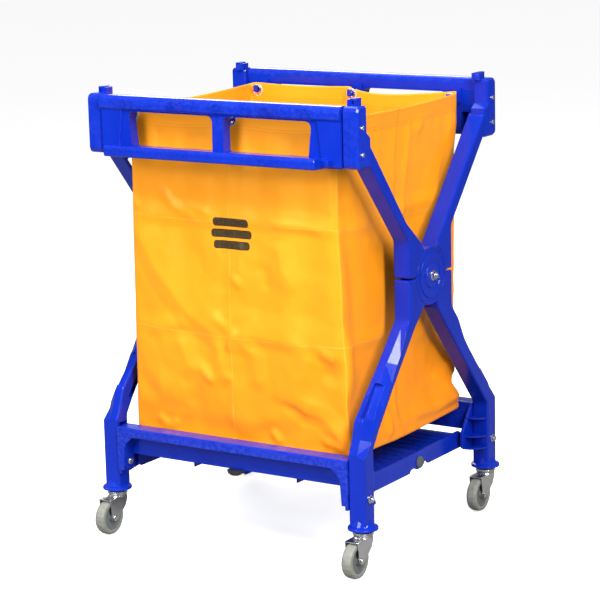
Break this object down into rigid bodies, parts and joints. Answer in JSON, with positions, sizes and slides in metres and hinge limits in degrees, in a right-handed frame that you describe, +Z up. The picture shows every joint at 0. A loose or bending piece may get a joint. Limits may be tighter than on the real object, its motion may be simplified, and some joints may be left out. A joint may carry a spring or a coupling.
{
  "type": "folding linen trolley",
  "caption": "Folding ward linen trolley: crossed moulded legs joined by a hub bolt, top rails holding an open cloth bag, a folding slatted tray and swivel casters.",
  "frame": {"origin": "on the floor, midway between the legs, under the hub bolts", "axes": "+X along the rails towards the trolley's right, -Y towards the front handle, +Z up"},
  "size_m": [0.687, 0.6664, 0.9665],
  "materials": {
    "frame_blue": "glossy royal blue moulding",
    "bag_cloth": "satin woven orange-yellow cloth",
    "bright_steel": "bright zinc",
    "tyre_grey": "matte grey rubber",
    "wheel_centre_grey": "matte",
    "cap_grey": "matte",
    "bumper_rubber": "matte"
  },
  "bodies": {
    "hub": {"hub_bolt_r": "bright_steel", "hub_nut_r": "bright_steel", "hub_bolt_l": "bright_steel", "hub_nut_l": "bright_steel"},
    "frame_a": {"leg_a_r": "frame_blue", "leg_a_l": "frame_blue", "rail_front": "frame_blue", "beam_back": "frame_blue", "bumper_back": "bumper_rubber", "rail_screw_fr_1": "bright_steel", "rail_screw_fr_2": "bright_steel", "rail_screw_fl_1": "bright_steel", "rail_screw_fl_2": "bright_steel", "leg_bolt_br": "bright_steel", "leg_bolt_bl": "bright_steel", "caster_stem_br": "bright_steel", "caster_stem_bl": "bright_steel", "eyelet_f_1": "bright_steel", "eyelet_f_2": "bright_steel", "eyelet_f_3": "bright_steel"},
    "frame_b": {"leg_b_r": "frame_blue", "leg_b_l": "frame_blue", "rail_back": "frame_blue", "beam_front": "frame_blue", "bumper_front": "bumper_rubber", "rail_screw_br_1": "bright_steel", "rail_screw_br_2": "bright_steel", "rail_screw_bl_1": "bright_steel", "rail_screw_bl_2": "bright_steel", "leg_bolt_fr": "bright_steel", "leg_bolt_fl": "bright_steel", "caster_stem_fr": "bright_steel", "caster_stem_fl": "bright_steel", "eyelet_b_1": "bright_steel", "eyelet_b_2": "bright_steel", "eyelet_b_3": "bright_steel"},
    "tray_front": {"tray_front": "frame_blue", "tray_cap_r": "cap_grey", "tray_cap_l": "cap_grey"},
    "tray_back": {"tray_back": "frame_blue"},
    "bag": {"bag": "bag_cloth"},
    "swivel_fr": {"caster_fork_fr": "bright_steel", "caster_axle_fr": "bright_steel"},
    "wheel_fr": {"wheel_centre_fr": "wheel_centre_grey", "wheel_tyre_fr": "tyre_grey"},
    "swivel_fl": {"caster_fork_fl": "bright_steel", "caster_axle_fl": "bright_steel"},
    "wheel_fl": {"wheel_centre_fl": "wheel_centre_grey", "wheel_tyre_fl": "tyre_grey"},
    "swivel_br": {"caster_fork_br": "bright_steel", "caster_axle_br": "bright_steel"},
    "wheel_br": {"wheel_centre_br": "wheel_centre_grey", "wheel_tyre_br": "tyre_grey"},
    "swivel_bl": {"caster_fork_bl": "bright_steel", "caster_axle_bl": "bright_steel"},
    "wheel_bl": {"wheel_centre_bl": "wheel_centre_grey", "wheel_tyre_bl": "tyre_grey"}
  },
  "joints": [
    {"name": "fold_front_foot", "type": "hinge", "parent": "hub", "child": "frame_b", "pos_m": [0, 0, 0.5715], "axis": [1, 0, 0], "range_deg": [0, 19], "deforming": ["bag"]},
    {"name": "fold_back_foot", "type": "hinge", "parent": "hub", "child": "frame_a", "pos_m": [0, 0, 0.5715], "axis": [1, 0, 0], "range_deg": [-19.1, 0]},
    {"name": "tray_front_hinge", "type": "hinge", "parent": "frame_b", "child": "tray_front", "pos_m": [0, -0.225, 0.16], "axis": [1, 0, 0], "range_deg": [0, 55.3]},
    {"name": "tray_back_hinge", "type": "hinge", "parent": "frame_a", "child": "tray_back", "pos_m": [0, 0.225, 0.16], "axis": [1, 0, 0], "range_deg": [-55.3, 0]},
    {"name": "bag_lift", "type": "slide", "parent": "hub", "child": "bag", "axis": [0, 0, 1], "range_m": [0, 0.0645]},
    {"name": "swivel_fr", "type": "hinge", "parent": "frame_b", "child": "swivel_fr", "pos_m": [0.3105, -0.26275, 0.083], "axis": [0, 0, 1], "continuous": true},
    {"name": "roll_fr", "type": "hinge", "parent": "swivel_fr", "child": "wheel_fr", "pos_m": [0.3105, -0.29575, 0.0375], "axis": [1, 0, 0], "continuous": true},
    {"name": "swivel_fl", "type": "hinge", "parent": "frame_b", "child": "swivel_fl", "pos_m": [-0.3105, -0.26275, 0.083], "axis": [0, 0, 1], "continuous": true},
    {"name": "roll_fl", "type": "hinge", "parent": "swivel_fl", "child": "wheel_fl", "pos_m": [-0.3105, -0.29575, 0.0375], "axis": [1, 0, 0], "continuous": true},
    {"name": "swivel_br", "type": "hinge", "parent": "frame_a", "child": "swivel_br", "pos_m": [0.3105, 0.26275, 0.083], "axis": [0, 0, 1], "continuous": true},
    {"name": "roll_br", "type": "hinge", "parent": "swivel_br", "child": "wheel_br", "pos_m": [0.3105, 0.22975, 0.0375], "axis": [1, 0, 0], "continuous": true},
    {"name": "swivel_bl", "type": "hinge", "parent": "frame_a", "child": "swivel_bl", "pos_m": [-0.3105, 0.26275, 0.083], "axis": [0, 0, 1], "continuous": true},
    {"name": "roll_bl", "type": "hinge", "parent": "swivel_bl", "child": "wheel_bl", "pos_m": [-0.3105, 0.22975, 0.0375], "axis": [1, 0, 0], "continuous": true}
  ],
  "couplings": [
    {"joint": "fold_back_foot", "follows": "fold_front_foot", "ratio": -1},
    {"joint": "tray_front_hinge", "follows": "fold_front_foot", "ratio": 2.9},
    {"joint": "tray_back_hinge", "follows": "fold_front_foot", "ratio": -2.9},
    {"joint": "bag_lift", "follows": "fold_front_foot", "m_per_rad": 0.19}
  ]
}
